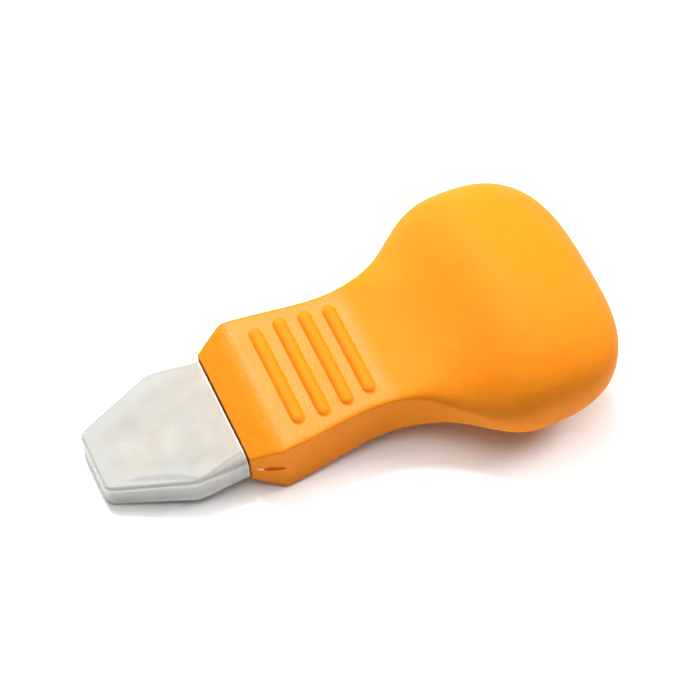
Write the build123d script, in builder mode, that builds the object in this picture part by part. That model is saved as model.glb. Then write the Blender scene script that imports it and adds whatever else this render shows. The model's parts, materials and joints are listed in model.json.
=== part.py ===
from build123d import *
import math
import os

# Bench knife for prying open press-fit cases: a moulded palm-bulb handle, a short steel blade with a
# hidden tang, and a push-on cap over the blade. Millimetres.
#
# Row frame: the tool lies as it is put down on a bench, on the lower edge of the front bevel and on
# the underside of the bulb. +X runs towards the bulb, +Z is up, and the tool is symmetric about Y = 0.
# Everything is drawn in the tool's own frame: x along its axis from the handle's front face towards
# the bulb, y across it, z square to the flat of the blade.

# --- driving dimensions ---
rest_tilt = 7.37          # the axis rises this many degrees towards the bulb when the tool lies down
front_height = 5.48       # height of the handle's front-face centre above the bench
front_offset = -21.4      # X of the handle's front-face centre, with X = 0 at half the length

handle_length = 66.7
bevel_length = 5.2

# Sections of the handle: station, half width, half height, half height of the upright side wall, and
# squareness of the top that rises from that wall, where 0 is an ellipse and 1 nearly a rectangle.
front_section = (0, 11.15, 3.45, 3.05, 0.90)
neck_sections = [
    (bevel_length, 13.60, 6.20, 5.75, 0.95),
    (12.4, 12.80, 5.80, 5.30, 0.95),
    (19.6, 11.95, 5.45, 4.80, 0.93),
    (26.8, 12.35, 5.20, 4.25, 0.86),
    (34.0, 15.90, 6.10, 2.30, 0.35),
    (41.2, 21.75, 9.10, 0.50, 0.12),
]
bulb_station = 48.5       # widest section of the bulb
bulb_half_width = 23.3
bulb_half_height = 11.8
bulb_side_wall = 0.4
bulb_squareness = 0.05
bulb_plan_power = 2.9     # squareness of the rear end seen from above
bulb_side_power = 1.85    # and seen from the side
dome_fractions = [0, 0.38, 0.66, 0.85, 0.95, 0.99]   # bulb sections along the rear dome

# Control points of a quarter ellipse of unit half sizes, as a curve of the fifth degree.
quarter_ellipse = [(1, 0), (1, 0.331), (0.866, 0.631), (0.631, 0.866), (0.331, 1), (0, 1)]

rib_stations = [9.7, 14.1, 18.4, 22.6]
rib_half_lengths = [10.0, 10.3, 9.9, 9.3]
rib_radius = 1.25
rib_stand = 0.6

blade_thickness = 1.5
blade_exposed = 20.4
blade_shoulder = 8.4
blade_half_width = 9.1
blade_tip_half_width = 4.2
blade_edge = 0.3          # thickness left at the ground edge
blade_grind = 5.0
tang_length = 30.0
tang_half_width = 7.2
tang_hole_radius = 2.6
tang_holes = [9.0, 21.0]

cap_gap = 0.3             # between the cap's mouth and the handle's front face
cap_length = 23.0
cap_shoulder = 9.4
cap_half_width = 11.3
cap_tip_half_width = 5.9
cap_half_height = 3.4
cap_tip_half_height = 2.45
cap_wall = 1.1
cap_tip_wall = 1.5
cap_tip_corner = 1.6      # radii of the outline's corners, and of the long edges
cap_shoulder_corner = 2.0
cap_edge = 0.6

# --- the tool's own frame ---
tilt = math.radians(rest_tilt)
axis_dir = Vector(math.cos(tilt), 0, math.sin(tilt))
tool = Plane(
    origin=(front_offset, 0, front_height),
    x_dir=axis_dir,
    z_dir=Vector(-math.sin(tilt), 0, math.cos(tilt)),
)
side = Plane(origin=tool.origin, x_dir=axis_dir, z_dir=(0, -1, 0))


def mirrored(half_outline):
    """Closed outline from its upper half, mirrored about the tool's axis."""
    return half_outline + [(x, -y) for x, y in reversed(half_outline)]


def across(station):
    """Plane square to the tool's axis at a station: local x is the tool's y, local y its z."""
    return Plane(origin=tool.from_local_coords((station, 0, 0)), x_dir=(0, 1, 0), z_dir=axis_dir)


def section(station, half_width, half_height, side_wall, squareness):
    """Section of the handle: two upright walls, and quarters of an ellipse pulled to the corners."""
    corner = [0, squareness, squareness, squareness, squareness, 0]
    arch = half_height - side_wall
    quarter = [
        (half_width * (y + pull * (1 - y)), side_wall + arch * (z + pull * (1 - z)))
        for (y, z), pull in zip(quarter_ellipse, corner)
    ]
    with BuildSketch(across(station)) as outline:
        with BuildLine():
            Line((half_width, -side_wall), (half_width, side_wall))
            Line((-half_width, side_wall), (-half_width, -side_wall))
            for side_y, side_z in [(1, 1), (-1, 1), (-1, -1), (1, -1)]:
                Bezier(*[(side_y * y, side_z * z) for y, z in quarter])
        make_face()
    return outline.sketch


def bulb_section(fraction):
    """Section of the bulb at a fraction of the rear dome's length."""
    half_width = dome_radius(fraction, bulb_half_width, bulb_plan_power)
    half_height = dome_radius(fraction, bulb_half_height, bulb_side_power)
    station = bulb_station + fraction * (handle_length - bulb_station)
    return section(station, half_width, half_height, bulb_side_wall, bulb_squareness)


def dome_radius(fraction, radius, power):
    """Half size of the rear dome at a fraction of its length: a superellipse."""
    return radius * (1 - fraction**power) ** (1 / power)


def neck_half_height(station):
    """Half height of the neck at a station, straight between its sections."""
    for (x0, _, h0, *_), (x1, _, h1, *_) in zip(neck_sections, neck_sections[1:]):
        if x0 <= station <= x1:
            return h0 + (h1 - h0) * (station - x0) / (x1 - x0)
    raise ValueError(f"station {station} is not on the neck")


os.makedirs("parts", exist_ok=True)

# --- blade: exposed plate and tang in one outline, ground to an edge at the tip ---
plate_half_outline = [
    (-blade_exposed, blade_tip_half_width),
    (-blade_shoulder, blade_half_width),
    (0, blade_half_width),
    (0, tang_half_width),
    (tang_length, tang_half_width),
]
half_plate = blade_thickness / 2
ground_half_profile = [
    (-blade_exposed, blade_edge / 2),
    (blade_grind - blade_exposed, half_plate),
    (tang_length, half_plate),
]
with BuildPart() as blade:
    with BuildSketch(tool):
        with BuildLine():
            Polyline(*mirrored(plate_half_outline), close=True)
        make_face()
        with Locations(*[(station, 0) for station in tang_holes]):
            Circle(tang_hole_radius, mode=Mode.SUBTRACT)
    extrude(amount=half_plate, both=True)
    with BuildSketch(side):
        with BuildLine():
            Polyline(*mirrored(ground_half_profile), close=True)
        make_face()
    extrude(amount=blade_half_width, both=True, mode=Mode.INTERSECT)
blade.part.label = "blade"
export_step(blade.part, "parts/blade.step")

# --- handle: front bevel, ribbed neck and palm bulb, moulded round the tang ---
with BuildPart() as handle:
    neck = [section(*sizes) for sizes in neck_sections]
    loft(neck + [bulb_section(fraction) for fraction in dome_fractions])
    loft([section(*front_section), neck[0]], ruled=True)
    for station, half_length in zip(rib_stations, rib_half_lengths):
        rib_axis_height = neck_half_height(station) + rib_stand - rib_radius
        end_y = half_length - rib_radius
        for face in (1, -1):
            with Locations(tool.location * Pos(station, 0, face * rib_axis_height)):
                Cylinder(rib_radius, 2 * end_y, rotation=(90, 0, 0))
            for y in (-end_y, end_y):
                with Locations(tool.location * Pos(station, y, face * rib_axis_height)):
                    Sphere(rib_radius)
    add(blade.part, mode=Mode.SUBTRACT)
handle.part.label = "handle"
export_step(handle.part, "parts/handle.step")


def cap_form(inset, tip_inset):
    """Cap's shape, drawn in by one wall all round and another at the tip: plan by side view."""
    tip = tip_inset - cap_gap - cap_length
    half_plan = [
        (-cap_gap, cap_half_width - inset),
        (-cap_shoulder, cap_half_width - inset),
        (tip, cap_tip_half_width - inset),
    ]
    half_profile = [
        (-cap_gap, cap_half_height - inset),
        (tip, cap_tip_half_height - inset),
    ]
    with BuildPart() as form:
        with BuildSketch(tool):
            with BuildLine():
                Polyline(*mirrored(half_plan), close=True)
            make_face()
        extrude(amount=cap_half_height, both=True)
        with BuildSketch(side):
            with BuildLine():
                Polyline(*mirrored(half_profile), close=True)
            make_face()
        extrude(amount=cap_half_width, both=True, mode=Mode.INTERSECT)
    return form.part


# --- blade cap: outer shape with softened edges, then the space for the blade ---
with BuildPart() as blade_cap:
    add(cap_form(0, 0))
    upright = blade_cap.edges().filter_by(Axis(tool.origin, tool.z_dir))
    corners = upright.sort_by(Axis(tool.origin, axis_dir))
    fillet(corners[:2], cap_tip_corner)
    fillet(corners[2:4], cap_shoulder_corner)
    mouth = blade_cap.faces().sort_by(Axis(tool.origin, axis_dir))[-1]
    fillet(blade_cap.edges() - mouth.edges(), cap_edge)
    add(cap_form(cap_wall, cap_tip_wall), mode=Mode.SUBTRACT)
blade_cap.part.label = "blade_cap"
export_step(blade_cap.part, "parts/blade_cap.step")
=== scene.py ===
"""Visual model of a bench knife: moulded palm-bulb handle, ground steel blade, translucent blade cap.

Blender works in metres in the row frame. The shapes are drawn in millimetres in the tool's own frame:
x along its axis from the handle's front face towards the bulb, y across it, z square to the blade's flat.
"""
import json
import math

import bpy
import numpy as np
from mathutils import Matrix, Vector, noise


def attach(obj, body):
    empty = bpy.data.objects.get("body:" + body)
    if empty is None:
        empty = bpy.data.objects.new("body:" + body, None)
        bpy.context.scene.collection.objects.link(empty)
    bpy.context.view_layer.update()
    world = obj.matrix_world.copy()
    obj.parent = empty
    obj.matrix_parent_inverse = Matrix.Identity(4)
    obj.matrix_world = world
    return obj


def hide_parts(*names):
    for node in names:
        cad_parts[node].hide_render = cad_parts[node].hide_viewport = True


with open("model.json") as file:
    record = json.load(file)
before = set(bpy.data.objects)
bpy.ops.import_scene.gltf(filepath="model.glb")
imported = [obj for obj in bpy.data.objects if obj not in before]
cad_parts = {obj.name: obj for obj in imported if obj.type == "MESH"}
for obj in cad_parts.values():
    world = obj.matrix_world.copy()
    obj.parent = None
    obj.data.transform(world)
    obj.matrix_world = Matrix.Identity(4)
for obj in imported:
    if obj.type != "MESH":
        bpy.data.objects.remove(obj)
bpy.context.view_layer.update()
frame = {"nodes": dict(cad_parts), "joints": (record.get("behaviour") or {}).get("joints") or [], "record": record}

MM = 0.001

# --- driving dimensions, the same as the CAD part's ---
HANDLE_LENGTH = 66.7
FRONT_HALF_WIDTH = 11.15
FRONT_HALF_HEIGHT = 3.45
FRONT_SIDE_WALL = 3.05
BEVEL_LENGTH = 5.2
# Stations along the neck, the last one at the widest part of the bulb.
STATIONS = [5.2, 12.4, 19.6, 26.8, 34.0, 41.2, 48.5]
HALF_WIDTHS = [13.60, 12.80, 11.95, 12.35, 15.90, 21.75, 23.3]
HALF_HEIGHTS = [6.20, 5.80, 5.45, 5.20, 6.10, 9.10, 11.8]
SIDE_WALLS = [5.75, 5.30, 4.80, 4.25, 2.30, 0.50, 0.4]    # half heights of the upright side wall
DOME_PLAN_POWER = 2.9
DOME_SIDE_POWER = 1.85

RIB_STATIONS = [9.7, 14.1, 18.4, 22.6]
RIB_HALF_LENGTHS = [10.0, 10.3, 9.9, 9.3]
RIB_RADIUS = 1.25
RIB_STAND = 0.6

BLADE_EXPOSED = 20.4
BLADE_SHOULDER = 8.4
BLADE_HALF_WIDTH = 9.1
BLADE_TIP_HALF_WIDTH = 4.2

CAP_GAP = 0.3
CAP_LENGTH = 23.0
CAP_SHOULDER = 9.4
CAP_HALF_WIDTH = 11.3
CAP_TIP_HALF_WIDTH = 5.9
CAP_HALF_HEIGHT = 3.4
CAP_TIP_HALF_HEIGHT = 2.45
CAP_TAPER = (CAP_HALF_HEIGHT - CAP_TIP_HALF_HEIGHT) / CAP_LENGTH
CAP_WALL = 1.1
CAP_TIP_WALL = 1.5
CAP_TIP_CORNER = 1.6
CAP_TIP_EDGE = 0.6

# --- finer shape, of the visual model alone ---
# Superellipse powers of the top that rises from the side wall: 2 is an ellipse, 40 nearly flat.
ACROSS_POWERS = [42, 42, 38, 24, 4.5, 2.8, 2.4]
RISE_POWERS = [2.0, 2.0, 2.0, 1.9, 1.45, 1.85, 2.2]
NECK_CROWN = 0.25         # how far the neck's flats fall off at their sides
NECK_END = 24             # station where the flats start to turn into the bulb
FRONT_EDGE = 0.15         # radius round the front face
CREASE_BLEND = 1.0        # rounding of the crease behind the bevel, on the broad faces
CORNER_BLEND = 0.22       # and at the sides
RIB_FILLET = 0.3
BULB_INSET = 0.07         # draws the bulb in, so that the visual model stays inside the CAD's box
DOME_END = HANDLE_LENGTH - BULB_INSET
PARTING_RIDGE = 0.045     # height of the ridge along the parting line, and its half width
PARTING_HALF_WIDTH = 0.11
SCAR_STATION = 3.5        # centre of the torn gate mark, and its half sizes
SCAR_HEIGHT = 0.3
SCAR_HALF_LENGTH = 1.75
SCAR_HALF_HEIGHT = 0.58
SCAR_DEPTH = 0.22
GLINT_STATION = 1.5      # pale painted glint in front of the mark
CAP_MOUTH_EDGE = 2.3      # the cap's long edges are rounder towards its mouth
CAP_RIM = 0.22            # rounding of the cap's lip

# --- tints placed on the cap: a painted glow over the blade's tip, and painted shade over the space beside the blade ---
GLOW_CENTRE = (-17.6, -0.3)
GLOW_SIZE = (1.9, 2.6)
HOLLOW_SHADE_CENTRE = (-13.3, -8.2)
HOLLOW_SHADE_ALONG = (0.903, -0.430)
HOLLOW_SHADE_HALF_LENGTH = 5.6
HOLLOW_SHADE_HALF_WIDTH = 0.9

# --- the tool's frame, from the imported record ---
axis = -Vector(frame["joints"][0]["axis"]).normalized()
across = Vector((0, 1, 0))
flat_normal = axis.cross(across)
mounts = {mount["name"]: mount for mount in frame["record"]["mounts"]}
tool_origin = Vector(mounts["blade_edge"]["pos_m"]) + axis * BLADE_EXPOSED * MM
tool_matrix = np.array([axis, across, flat_normal])


def to_row(points):
    """Row-frame positions in metres of points in the tool's frame in millimetres."""
    return np.asarray(points, float) @ tool_matrix * MM + np.array(tool_origin)


# --- curves and sections ---
def spline(knots, values):
    """Smooth cubic curve through points, straight at its start and level at its end."""
    knots = np.array(knots, float)
    values = np.array(values, float)
    gaps = np.diff(knots)
    rises = np.diff(values) / gaps
    count = len(knots)
    system = np.zeros((count, count))
    wanted = np.zeros(count)
    system[0, :2] = 2, 1
    wanted[0] = 3 * rises[0]
    system[-1, -1] = 1
    for i in range(1, count - 1):
        system[i, i - 1:i + 2] = gaps[i], 2 * (gaps[i - 1] + gaps[i]), gaps[i - 1]
        wanted[i] = 3 * (gaps[i] * rises[i - 1] + gaps[i - 1] * rises[i])
    slopes = np.linalg.solve(system, wanted)

    def curve(x):
        x = np.asarray(x, float)
        i = np.clip(np.searchsorted(knots, x) - 1, 0, count - 2)
        t = (np.clip(x, knots[0], knots[-1]) - knots[i]) / gaps[i]
        inside = (
            values[i] * (1 + 2 * t) * (1 - t) ** 2
            + values[i + 1] * t ** 2 * (3 - 2 * t)
            + gaps[i] * slopes[i] * t * (1 - t) ** 2
            - gaps[i] * slopes[i + 1] * t ** 2 * (1 - t)
        )
        return inside + slopes[0] * np.minimum(x - knots[0], 0)

    return curve


def soft_min(a, b, blend):
    """Smaller of two values, rounded off where they are within blend of each other."""
    near = np.maximum(blend - np.abs(a - b), 0) / blend
    return np.minimum(a, b) - near ** 2 * blend / 4


def soft_max(a, b, blend):
    return -soft_min(-a, -b, blend)


def smooth_step(x, low, high):
    t = np.clip((x - low) / (high - low), 0, 1)
    return t * t * (3 - 2 * t)


def resample(section, count, weight):
    """Points along a polyline (n, 2), spread evenly by arc length times weight."""
    steps = np.linalg.norm(np.diff(section, axis=0), axis=1)
    gauge = np.concatenate([[0], np.cumsum(steps * (weight[1:] + weight[:-1]) / 2)])
    wanted = np.linspace(0, gauge[-1], count)
    return np.stack([np.interp(wanted, gauge, section[:, k]) for k in (0, 1)], 1)


def mirror_quarter(quarter):
    """Closed ring (y, z) from its quarter with y and z positive, which starts on z = 0."""
    y, z = quarter.T
    top = np.stack([np.concatenate([y, -y[-2::-1]]), np.concatenate([z, z[-2::-1]])], 1)
    bottom = top[-2:0:-1] * [1, -1]
    return np.concatenate([top, bottom])


def ring_mesh(name, rings, closed_start, closed_end):
    """Mesh from equal rings of points in the tool's frame; a closed end gets a centre point."""
    rings = np.asarray(rings, float)
    count, around = rings.shape[:2]
    points = rings.reshape(-1, 3)
    index = np.arange(count * around).reshape(count, around)
    turned = np.roll(index, -1, axis=1)
    quads = np.stack([index[:-1], index[1:], turned[1:], turned[:-1]], -1).reshape(-1, 4)
    faces = quads.tolist()
    extra = []
    if closed_start:
        centre = len(points) + len(extra)
        extra.append(rings[0].mean(0))
        faces += [(centre, a, b) for a, b in zip(index[0].tolist(), turned[0].tolist())]
    if closed_end:
        centre = len(points) + len(extra)
        extra.append(rings[-1].mean(0))
        faces += [(centre, b, a) for a, b in zip(index[-1].tolist(), turned[-1].tolist())]
    if extra:
        points = np.concatenate([points, extra])
    mesh = bpy.data.meshes.new(name)
    mesh.from_pydata(to_row(points).tolist(), [], faces)
    mesh.polygons.foreach_set("use_smooth", [True] * len(mesh.polygons))
    mesh.update()
    piece = bpy.data.objects.new(name, mesh)
    bpy.context.scene.collection.objects.link(piece)
    return piece


def store(piece, name, values):
    """Keeps one number per vertex on the mesh, for its material."""
    values = np.asarray(values, np.float32).ravel()
    padded = np.zeros(len(piece.data.vertices), np.float32)
    padded[:len(values)] = values
    layer = piece.data.attributes.new(name, "FLOAT", "POINT")
    layer.data.foreach_set("value", padded)


# --- handle ---
neck_width = spline(STATIONS, HALF_WIDTHS)
neck_height = spline(STATIONS, HALF_HEIGHTS)
neck_wall = spline(STATIONS, SIDE_WALLS)
across_power = spline(STATIONS, np.log(ACROSS_POWERS))
rise_power = spline(STATIONS, np.log(RISE_POWERS))


def half_sizes(x):
    """Half width, half height and half height of the side wall of the handle at a station."""
    bulb = STATIONS[-1]
    fraction = np.clip((x - bulb) / (DOME_END - bulb), 0, 1)
    dome_width = HALF_WIDTHS[-1] * (1 - fraction ** DOME_PLAN_POWER) ** (1 / DOME_PLAN_POWER)
    bulb_height = HALF_HEIGHTS[-1] - BULB_INSET
    dome_height = bulb_height * (1 - fraction ** DOME_SIDE_POWER) ** (1 / DOME_SIDE_POWER)
    bevel = x / BEVEL_LENGTH
    bevel_width = FRONT_HALF_WIDTH + (HALF_WIDTHS[0] - FRONT_HALF_WIDTH) * bevel
    bevel_height = FRONT_HALF_HEIGHT + (HALF_HEIGHTS[0] - FRONT_HALF_HEIGHT) * bevel
    bevel_wall = FRONT_SIDE_WALL + (SIDE_WALLS[0] - FRONT_SIDE_WALL) * bevel
    width = soft_min(bevel_width, neck_width(x), CORNER_BLEND)
    height = soft_min(bevel_height, neck_height(x), CREASE_BLEND) - BULB_INSET * smooth_step(x, 30, bulb)
    wall = soft_min(bevel_wall, neck_wall(x), CREASE_BLEND)
    front = np.clip(FRONT_EDGE - x, 0, FRONT_EDGE)
    rounding = FRONT_EDGE - np.sqrt(FRONT_EDGE ** 2 - front ** 2)
    height = np.where(x < bulb, height, dome_height) - rounding
    return (
        np.where(x < bulb, width, dome_width) - rounding,
        height,
        np.minimum(np.maximum(wall, SIDE_WALLS[-1]), 0.93 * height) - rounding,
    )


def handle_section(x, width, height, wall, count):
    """Quarter section at a station, dense at its edge and along the parting line."""
    t = np.linspace(0, math.pi / 2, 1500)
    y = width * np.cos(t) ** (2 / math.exp(across_power(x)))
    z = wall + (height - wall) * np.sin(t) ** (2 / math.exp(rise_power(x)))
    upright = np.linspace(0, wall, 200)[:-1]
    y = np.concatenate([np.full(len(upright), width), y])
    z = np.concatenate([upright, z])
    outline = np.stack([y, z], 1)
    heading = np.unwrap(np.arctan2(np.gradient(z), np.gradient(y)))
    length = np.concatenate([[0], np.cumsum(np.linalg.norm(np.diff(outline, axis=0), axis=1))])
    bend = np.abs(np.gradient(heading)) / np.maximum(np.gradient(length), 1e-4)
    weight = 1 + np.minimum(bend, 2.5) * 2.5 + 4 * np.exp(-(z / 0.35) ** 2)
    return resample(outline, count, weight)


def rib_height(x, y):
    """Height of the grip ribs above the neck's flat, rounded in section and at both ends."""
    height = np.zeros_like(x)
    for station, half_length in zip(RIB_STATIONS, RIB_HALF_LENGTHS):
        past_end = np.maximum(np.abs(y) - (half_length - RIB_RADIUS), 0)
        distance = np.hypot(x - station, past_end)
        inside = np.minimum(distance, 0.98 * RIB_RADIUS)
        crest = np.sqrt(RIB_RADIUS ** 2 - inside ** 2) + RIB_STAND - RIB_RADIUS
        crest -= 3 * (distance - inside)
        height = np.maximum(height, soft_max(crest, 0, RIB_FILLET))
    return height


def handle_stations():
    bulb = STATIONS[-1]
    front_edge = FRONT_EDGE * (1 - np.cos(np.linspace(0, math.pi / 2, 6)))
    bevel = np.arange(0.4, 7.5, 0.1)
    ribbed = np.arange(7.5, 25.0, 0.13)
    flare = np.linspace(25.0, bulb, 60)[:-1]
    turn = np.linspace(0, math.pi / 2, 70)[:-1]
    dome = bulb + (DOME_END - bulb) * np.sin(turn) ** (2 / DOME_PLAN_POWER)
    last = DOME_END - (DOME_END - dome[-1]) * np.array([0.3, 0.05, 0.005])
    return np.concatenate([front_edge, bevel, ribbed, flare, dome, last])


def make_handle():
    around = 68
    stations = handle_stations()
    widths, heights, walls = half_sizes(stations)
    rings = []
    for x, width, height, wall in zip(stations, widths, heights, walls):
        ring = mirror_quarter(handle_section(x, width, height, wall, around))
        rings.append(np.column_stack([np.full(len(ring), x), ring]))
    rings = np.array(rings)
    x, y, z = (rings[..., k].copy() for k in range(3))

    flat = 1 - smooth_step(x, NECK_END, NECK_END + 10)
    z *= 1 - NECK_CROWN * flat / np.maximum(heights, 1)[:, None] * (y / np.maximum(widths, 1)[:, None]) ** 2

    ribs = rib_height(x, y) * (np.abs(z) > 0.7 * heights[:, None])
    z += np.sign(z) * ribs

    # Parting line round the body, a fine ridge that fades over the bulb.
    ridge = PARTING_RIDGE * (1 - 0.75 * smooth_step(x, NECK_END, NECK_END + 16))
    on_line = np.exp(-(z / PARTING_HALF_WIDTH) ** 2)
    y += np.sign(y) * ridge * on_line * (np.abs(y) > 1) * smooth_step(x, 0.2, 0.8)

    # Torn gate mark on one side of the front bevel, along the parting line.
    scar = gate_scar(x, z) * (y < 0)
    y += scar * SCAR_DEPTH

    front = [np.column_stack([np.zeros(len(rings[0])), rings[0, :, 1] * s, rings[0, :, 2] * s])
             for s in (0.2, 0.5, 0.8, 0.96)]
    rings = np.concatenate([front, np.stack([x, y, z], -1)])
    piece = ring_mesh("handle_moulding", rings, True, True)

    pad = np.zeros((len(front), x.shape[1]))
    broad_face = smooth_step(np.abs(z) / np.maximum(heights[:, None], 0.1), 0.8, 0.97)
    lands = broad_face * smooth_step(x, 3.2, 5.0) * (1 - smooth_step(x, NECK_END, NECK_END + 4))
    grain = lands * (1 - smooth_step(ribs, 0.05, 0.3))
    # Painted shade: a darker orange line along the base of each rib.
    foot_shade = np.exp(-((ribs - 0.06) / 0.07) ** 2) * broad_face * (ribs > 0.001)
    store(piece, "grain", np.concatenate([pad, grain]))
    store(piece, "rib_foot_shade", np.concatenate([pad, foot_shade]))
    store(piece, "scar", np.concatenate([pad, scar]))
    # Painted glint: a pale spot in front of the gate mark.
    painted_glint = np.exp(-((x - GLINT_STATION) / 0.55) ** 2 - ((z - 0.05) / 0.22) ** 2) * (y < 0)
    store(piece, "scar_painted_glint", np.concatenate([pad, painted_glint]))
    return piece


def gate_scar(x, z):
    """1 inside the torn mark and 0 outside it, with a ragged rim."""
    value = np.zeros_like(x)
    rows = np.argwhere((x > 1.0) & (x < 6.0) & (np.abs(z - SCAR_HEIGHT) < 1.2))
    for i, j in rows:
        ragged = noise.noise(Vector((x[i, j] * 2.3, z[i, j] * 3.1, 5.0))) * 0.35
        along = (x[i, j] - SCAR_STATION) / SCAR_HALF_LENGTH
        up = (z[i, j] - SCAR_HEIGHT - 0.12 * along) / (SCAR_HALF_HEIGHT - 0.16 * along)
        reach = math.hypot(along, up) + ragged
        value[i, j] = 1 - smooth_step(reach, 0.72, 1.05)
    return value


# --- cap ---
def cap_section(width, height, radius, count):
    """Quarter of a rounded rectangle, dense at its corner."""
    radius = min(radius, 0.98 * height, 0.98 * width)
    turn = np.linspace(0, math.pi / 2, 40)
    side = np.linspace(0, height - radius, 40)[:-1]
    top = np.linspace(width - radius, 0, 120)[1:]
    y = np.concatenate([np.full(len(side), width), width - radius + radius * np.cos(turn), top])
    z = np.concatenate([side, height - radius + radius * np.sin(turn), np.full(len(top), height)])
    weight = np.ones(len(y))
    weight[len(side):len(side) + len(turn)] = 1 + 2.0 / radius
    return resample(np.stack([y, z], 1), count, weight)


def cap_sizes(x, inset, tip):
    """Half width, half height and long-edge radius of the cap's shape at a station."""
    slant = (CAP_HALF_WIDTH - CAP_TIP_HALF_WIDTH) / (CAP_LENGTH + CAP_GAP - CAP_SHOULDER)
    outer_tip = -CAP_GAP - CAP_LENGTH
    width = soft_min(CAP_TIP_HALF_WIDTH + slant * (x - outer_tip), np.full_like(x, CAP_HALF_WIDTH), 0.3)
    height = CAP_TIP_HALF_HEIGHT + CAP_TAPER * (x - outer_tip)
    edge = CAP_TIP_EDGE + (CAP_MOUTH_EDGE - CAP_TIP_EDGE) * smooth_step(x, -CAP_SHOULDER, -CAP_GAP)
    width -= inset
    height -= inset
    edge = np.maximum(edge - inset, 0.3)
    corner = max(CAP_TIP_CORNER - inset, 0.5)
    from_tip = np.clip(x - tip, 0, corner)
    width -= (corner - np.sqrt(corner ** 2 - (corner - from_tip) ** 2)) * 0.72
    tip_edge = max(CAP_TIP_EDGE - inset, 0.3)
    from_tip = np.clip(x - tip, 0, tip_edge)
    height -= tip_edge - np.sqrt(tip_edge ** 2 - (tip_edge - from_tip) ** 2)
    return width, height, edge


def cap_surface(inset, tip, mouth, around):
    """Rings of the cap's outer or inner surface from the tip to the mouth."""
    corner = CAP_TIP_CORNER * (1 - np.cos(np.linspace(0, math.pi / 2, 26)))
    body = np.linspace(tip + CAP_TIP_CORNER, mouth, 90)[1:]
    stations = np.concatenate([tip + corner, body])
    widths, heights, edges = cap_sizes(stations, inset, tip)
    rings = []
    for x, width, height, edge in zip(stations, widths, heights, edges):
        ring = mirror_quarter(cap_section(width, height, edge, around))
        rings.append(np.column_stack([np.full(len(ring), x), ring]))
    face = [rings[0] * [1, s, s] for s in (0.2, 0.5, 0.8, 0.93)]
    return face + rings


def make_cap():
    around = 48
    tip = -CAP_GAP - CAP_LENGTH
    outer = cap_surface(0, tip, -CAP_GAP - CAP_RIM, around)
    inner = cap_surface(CAP_WALL, tip + CAP_TIP_WALL, -CAP_GAP - CAP_RIM, around)
    # The lip turns a quarter circle off the outer wall, and another onto the inner one.
    turns = np.linspace(0, math.pi / 2, 6)[1:]
    shares = CAP_RIM / CAP_WALL * (1 - np.cos(turns))
    stations = -CAP_GAP - CAP_RIM + CAP_RIM * np.sin(turns)
    lip = []
    for share, x in zip([*shares, *(1 - shares[::-1])], [*stations, *stations[::-1]]):
        ring = outer[-1] + (inner[-1] - outer[-1]) * share
        ring[:, 0] = x
        lip.append(ring)
    rings = np.array(outer + lip + inner[::-1])
    piece = ring_mesh("cap_shell", rings, True, True)
    mark_cap(piece, rings, len(outer))
    return piece


def mark_cap(piece, rings, outer_count):
    """Stores where the cap's tints lie, most of them painted light and shade; all but the lip are on its outer
    surface.
    """
    x, y, z = (rings[..., k] for k in range(3))
    outer = (np.arange(len(rings)) < outer_count)[:, None]
    broad_face = outer * smooth_step(np.abs(z), 1.6, 2.3)

    blade_stations = [-BLADE_EXPOSED, -BLADE_SHOULDER, 0]
    blade_half_widths = [BLADE_TIP_HALF_WIDTH, BLADE_HALF_WIDTH, BLADE_HALF_WIDTH]
    blade_width = np.interp(x, blade_stations, blade_half_widths)
    behind = smooth_step(blade_width - np.abs(y), -0.8, 1.6) * smooth_step(x, -BLADE_EXPOSED - 0.4, -18.6)
    store(piece, "blade_behind", behind * broad_face)

    glow = np.exp(
        -((x - GLOW_CENTRE[0]) / GLOW_SIZE[0]) ** 2 - ((y - GLOW_CENTRE[1]) / GLOW_SIZE[1]) ** 2
    )
    store(piece, "blade_tip_glow", glow * broad_face)
    # Painted orange light bounced off the handle, growing towards the mouth.
    store(piece, "mouth_orange_bounce", broad_face * smooth_step(x, -11, -0.5))

    # Lens-shaped painted shade along the slanted side, over the space beside the blade, straight towards the edge
    # and curved inwards.
    across_x, across_y = -HOLLOW_SHADE_ALONG[1], HOLLOW_SHADE_ALONG[0]
    from_x, from_y = x - HOLLOW_SHADE_CENTRE[0], y - HOLLOW_SHADE_CENTRE[1]
    along = from_x * HOLLOW_SHADE_ALONG[0] + from_y * HOLLOW_SHADE_ALONG[1]
    inward = from_x * across_x + from_y * across_y
    lens = 1 - (along / HOLLOW_SHADE_HALF_LENGTH) ** 2 - inward / HOLLOW_SHADE_HALF_WIDTH
    hollow_shade = smooth_step(lens, 0, 0.5) * smooth_step(inward, -0.75, -0.35)
    store(piece, "hollow_shade", hollow_shade * broad_face)

    flat_height = CAP_TIP_HALF_HEIGHT + CAP_TAPER * (x + CAP_GAP + CAP_LENGTH)
    # Painted highlight along the rounded long edges.
    rounding = outer * smooth_step(np.abs(z), 1.3, 2.0)
    store(piece, "edge", rounding * smooth_step(flat_height - np.abs(z), 0.01, 0.12))
    # Painted highlight on the lip.
    store(piece, "lip", smooth_step(x, -0.62, -CAP_GAP - 0.05))


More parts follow.
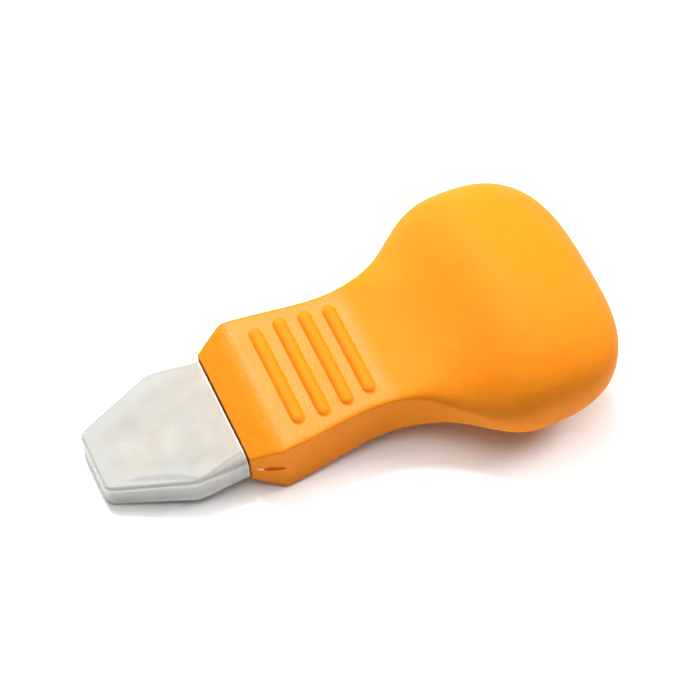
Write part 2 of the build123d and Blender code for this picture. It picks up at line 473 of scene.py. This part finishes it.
# --- materials ---
class Graph:
    """A new node material and short calls to build it."""

    def __init__(self, name):
        self.material = bpy.data.materials.new(name)
        self.material.use_nodes = True
        self.tree = self.material.node_tree
        self.shader = self.tree.nodes["Principled BSDF"]

    def node(self, kind, inputs=None, **settings):
        made = self.tree.nodes.new("ShaderNode" + kind)
        for key, value in settings.items():
            setattr(made, key, value)
        for key, value in (inputs or {}).items():
            self.feed(made.inputs[key], value)
        return made

    def feed(self, socket, value):
        if isinstance(value, bpy.types.NodeSocket):
            self.tree.links.new(value, socket)
        else:
            socket.default_value = value

    def set(self, **values):
        """Sets the shader's sockets; an underscore in a name stands for a space."""
        for key, value in values.items():
            self.feed(self.shader.inputs[key.replace("_", " ")], value)

    def place(self):
        """Position on the object in millimetres."""
        coordinates = self.node("TexCoord").outputs["Object"]
        return self.node("Mapping", {"Vector": coordinates, "Scale": (1000, 1000, 1000)}).outputs[0]

    def noise(self, place, scale, detail=2.0, roughness=0.5):
        """Noise from 0 to 1 with about scale features per millimetre."""
        made = self.node("TexNoise", {"Vector": place, "Scale": scale, "Detail": detail,
                                      "Roughness": roughness})
        return made.outputs["Fac"]

    def attribute(self, name):
        return self.node("Attribute", attribute_name=name).outputs["Fac"]

    def math(self, operation, a, b=0.0, c=0.0):
        made = self.node("Math", operation=operation)
        for socket, value in zip(made.inputs, (a, b, c)):
            self.feed(socket, value)
        return made.outputs[0]

    def remap(self, value, low, high, to_low, to_high):
        made = self.node("MapRange", {"Value": value, "From Min": low, "From Max": high,
                                      "To Min": to_low, "To Max": to_high})
        return made.outputs[0]

    def mix(self, share, a, b):
        made = self.node("Mix", data_type="RGBA")
        self.feed(made.inputs[0], share)
        self.feed(made.inputs[6], a)
        self.feed(made.inputs[7], b)
        return made.outputs[2]

    def bump(self, height, strength, distance, normal=None):
        made = self.node("Bump", {"Height": height, "Strength": strength, "Distance": distance})
        if normal is not None:
            self.feed(made.inputs["Normal"], normal)
        return made.outputs[0]


def handle_plastic():
    """Orange moulded plastic: fine spark-eroded grain, coarser on the grip's flats, smoother ribs."""
    g = Graph("handle_plastic")
    place = g.place()
    grain = g.attribute("grain")
    clouds = g.noise(place, 0.12, 4, 0.55)
    swirls = g.noise(place, 0.6, 3, 0.6)
    base = g.mix(g.remap(clouds, 0.3, 0.7, 0, 1), (0.62, 0.178, 0.0022, 1), (0.64, 0.188, 0.003, 1))
    base = g.mix(g.remap(swirls, 0.55, 0.75, 0, 0.25), base, (0.60, 0.164, 0.002, 1))
    # painted shade along the base of the ribs
    base = g.mix(g.math("MULTIPLY", g.attribute("rib_foot_shade"), 0.35), base, (0.60, 0.120, 0.002, 1))
    base = g.mix(g.attribute("scar"), base, (0.58, 0.085, 0.002, 1))
    # pale painted glint in front of the gate mark
    base = g.mix(g.attribute("scar_painted_glint"), base, (0.85, 0.62, 0.42, 1))
    fine = g.noise(place, 7.0, 2, 0.6)
    coarse = g.noise(place, 3.0, 1, 0.6)
    relief = g.math("MULTIPLY_ADD", coarse, g.math("MULTIPLY", grain, 2.9), g.math("MULTIPLY", fine, 0.35))
    torn = g.math("MULTIPLY", g.noise(place, 4.0, 4, 0.7), g.attribute("scar"))
    along_flow = g.node("Mapping", {"Vector": place, "Rotation": (0, 0, 0.5), "Scale": (0.18, 2.4, 0.6)})
    streaks = g.noise(along_flow.outputs[0], 1.0, 3, 0.6)
    flow = g.math("MULTIPLY", streaks, g.remap(clouds, 0.5, 0.62, 0, 1))
    normal = g.bump(relief, 0.6, 0.00004)
    normal = g.bump(flow, 0.6, 0.00016, normal)
    normal = g.bump(torn, 1.0, 0.00015, normal)
    rough = g.remap(clouds, 0.3, 0.7, 0.66, 0.74)
    rough = g.math("MULTIPLY_ADD", grain, -0.30, rough)
    g.set(Base_Color=base, Roughness=rough, Normal=normal, IOR=1.49, Specular_IOR_Level=0.14)
    g.set(Subsurface_Weight=0.12, Subsurface_Radius=(1.0, 0.35, 0.08), Subsurface_Scale=0.0012)
    return g.material


def cap_plastic():
    """Milky plastic with a faint grain; a warmer patch over the blade stands for it showing through."""
    g = Graph("cap_plastic")
    place = g.place()
    clouds = g.noise(place, 0.25, 4, 0.6)
    wetting = g.noise(place, 0.16, 2, 0.5)
    fine = g.noise(place, 5.0, 2, 0.6)
    milk = g.mix(g.remap(clouds, 0.3, 0.7, 0, 1), (0.284, 0.282, 0.260, 1), (0.308, 0.304, 0.278, 1))
    warm = g.mix(g.remap(wetting, 0.4, 0.6, 0, 1), (0.266, 0.257, 0.226, 1), (0.302, 0.276, 0.230, 1))
    base = g.mix(g.math("MULTIPLY", g.attribute("blade_behind"), 0.9), milk, warm)
    base = g.mix(g.math("MULTIPLY", g.attribute("blade_tip_glow"), 0.7), base, (0.325, 0.302, 0.246, 1))
    # painted orange light bounced off the handle, near the mouth
    base = g.mix(g.math("MULTIPLY", g.attribute("mouth_orange_bounce"), 0.75), base, (0.292, 0.252, 0.196, 1))
    # painted shade over the space beside the blade
    base = g.mix(g.math("MULTIPLY", g.attribute("hollow_shade"), 0.8), base, (0.205, 0.210, 0.200, 1))
    # painted highlight on the rounded long edges
    base = g.mix(g.math("MULTIPLY", g.attribute("edge"), 0.8), base, (0.44, 0.436, 0.410, 1))
    # painted highlight on the lip
    base = g.mix(g.attribute("lip"), base, (0.60, 0.59, 0.56, 1))
    normal = g.bump(fine, 0.5, 0.00001)
    rough = g.remap(clouds, 0.3, 0.7, 0.36, 0.44)
    g.set(Base_Color=base, Roughness=rough, Normal=normal, IOR=1.49, Specular_IOR_Level=0.12)
    g.set(Transmission_Weight=0.12)
    g.set(Subsurface_Weight=0.25, Subsurface_Radius=(1.0, 0.95, 0.85), Subsurface_Scale=0.0012)
    return g.material


def blade_steel():
    """Ground steel with fine scratches along the blade."""
    g = Graph("blade_steel")
    place = g.place()
    streaks = g.node("Mapping", {"Vector": place, "Scale": (0.15, 12.0, 3.0)}).outputs[0]
    lines = g.noise(streaks, 1.0, 4, 0.7)
    clouds = g.noise(place, 0.2, 3, 0.6)
    base = g.mix(g.remap(clouds, 0.3, 0.7, 0, 1), (0.60, 0.55, 0.49, 1), (0.70, 0.65, 0.58, 1))
    g.set(Base_Color=base, Metallic=1.0, Normal=g.bump(lines, 0.5, 0.00002))
    g.set(Roughness=g.remap(lines, 0.3, 0.7, 0.28, 0.42))
    return g.material


def floor_paper():
    g = Graph("floor_paper")
    g.set(Base_Color=(0.90, 0.90, 0.90, 1), Roughness=0.9)
    return g.material


# --- the pieces ---
handle = make_handle()
handle.data.materials.append(handle_plastic())
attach(handle, "tool")
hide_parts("handle")

cap = make_cap()
cap.data.materials.append(cap_plastic())
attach(cap, "cap")
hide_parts("blade_cap")

blade = frame["nodes"]["blade"]
blade.data.materials.clear()
blade.data.materials.append(blade_steel())

# --- stage, light and camera ---
FLOOR_SIDE = 4.0
half = FLOOR_SIDE / 2
floor_mesh = bpy.data.meshes.new("floor")
floor_corners = [(-half, -half, 0), (half, -half, 0), (half, half, 0), (-half, half, 0)]
floor_mesh.from_pydata(floor_corners, [], [(0, 1, 2, 3)])
floor = bpy.data.objects.new("floor", floor_mesh)
bpy.context.scene.collection.objects.link(floor)
floor.data.materials.append(floor_paper())


def add_light(name, azimuth, elevation, distance, size, power):
    """Round area light facing the object; azimuth 0 is towards +Y and 90 towards +X."""
    light = bpy.data.lights.new(name, "AREA")
    light.shape = "DISK"
    light.size = size
    light.energy = power
    lamp = bpy.data.objects.new(name, light)
    turn, rise = math.radians(azimuth), math.radians(elevation)
    towards = Vector((math.sin(turn) * math.cos(rise), math.cos(turn) * math.cos(rise), math.sin(rise)))
    lamp.location = towards * distance
    lamp.rotation_mode = "QUATERNION"
    lamp.rotation_quaternion = towards.to_track_quat("Z", "Y")
    bpy.context.scene.collection.objects.link(lamp)
    return lamp


add_light("main", -3, 60, 0.8, 0.34, 13.3)
add_light("overhead", 0, 90, 0.8, 0.6, 1.5)
add_light("right", 90, 45, 0.8, 0.35, 3.2)
# Soft fill that lights the table alone and that no piece shades, so the other lights' shadows stay pale.
table_light = add_light("table", 0, 90, 0.8, 1.0, 4.9)
only_floor = bpy.data.collections.new("only_floor")
only_floor.objects.link(floor)
table_light.light_linking.receiver_collection = only_floor
table_light.light_linking.blocker_collection = only_floor

world = bpy.data.worlds.new("studio")
world.use_nodes = True
background = world.node_tree.nodes["Background"]
background.inputs["Color"].default_value = (1, 1, 1, 1)
background.inputs["Strength"].default_value = 0.06
bpy.context.scene.world = world
bpy.context.scene.view_settings.view_transform = "Standard"

VIEW_AZIMUTH = math.radians(-30.45)
VIEW_ELEVATION = math.radians(55.00)
VIEW_ROLL = math.radians(7.64)
VIEW_DISTANCE = 484.7
VIEW_TARGET = Vector((2.25, 2.78, 8.54))
LENS = 149.87

camera_data = bpy.data.cameras.new("camera")
camera_data.sensor_width = 36
camera_data.lens = LENS
camera_data.clip_start = 0.01
camera_data.clip_end = 10
camera = bpy.data.objects.new("camera", camera_data)
bpy.context.scene.collection.objects.link(camera)
back = Vector((
    math.sin(VIEW_AZIMUTH) * math.cos(VIEW_ELEVATION),
    -math.cos(VIEW_AZIMUTH) * math.cos(VIEW_ELEVATION),
    math.sin(VIEW_ELEVATION),
))
level = Vector((math.cos(VIEW_AZIMUTH), math.sin(VIEW_AZIMUTH), 0))
upright = back.cross(level)
right = level * math.cos(VIEW_ROLL) + upright * math.sin(VIEW_ROLL)
up = back.cross(right)
camera.matrix_world = Matrix.Translation((VIEW_TARGET + back * VIEW_DISTANCE) * MM) @ Matrix(
    (right, up, back)
).transposed().to_4x4()
bpy.context.scene.camera = camera
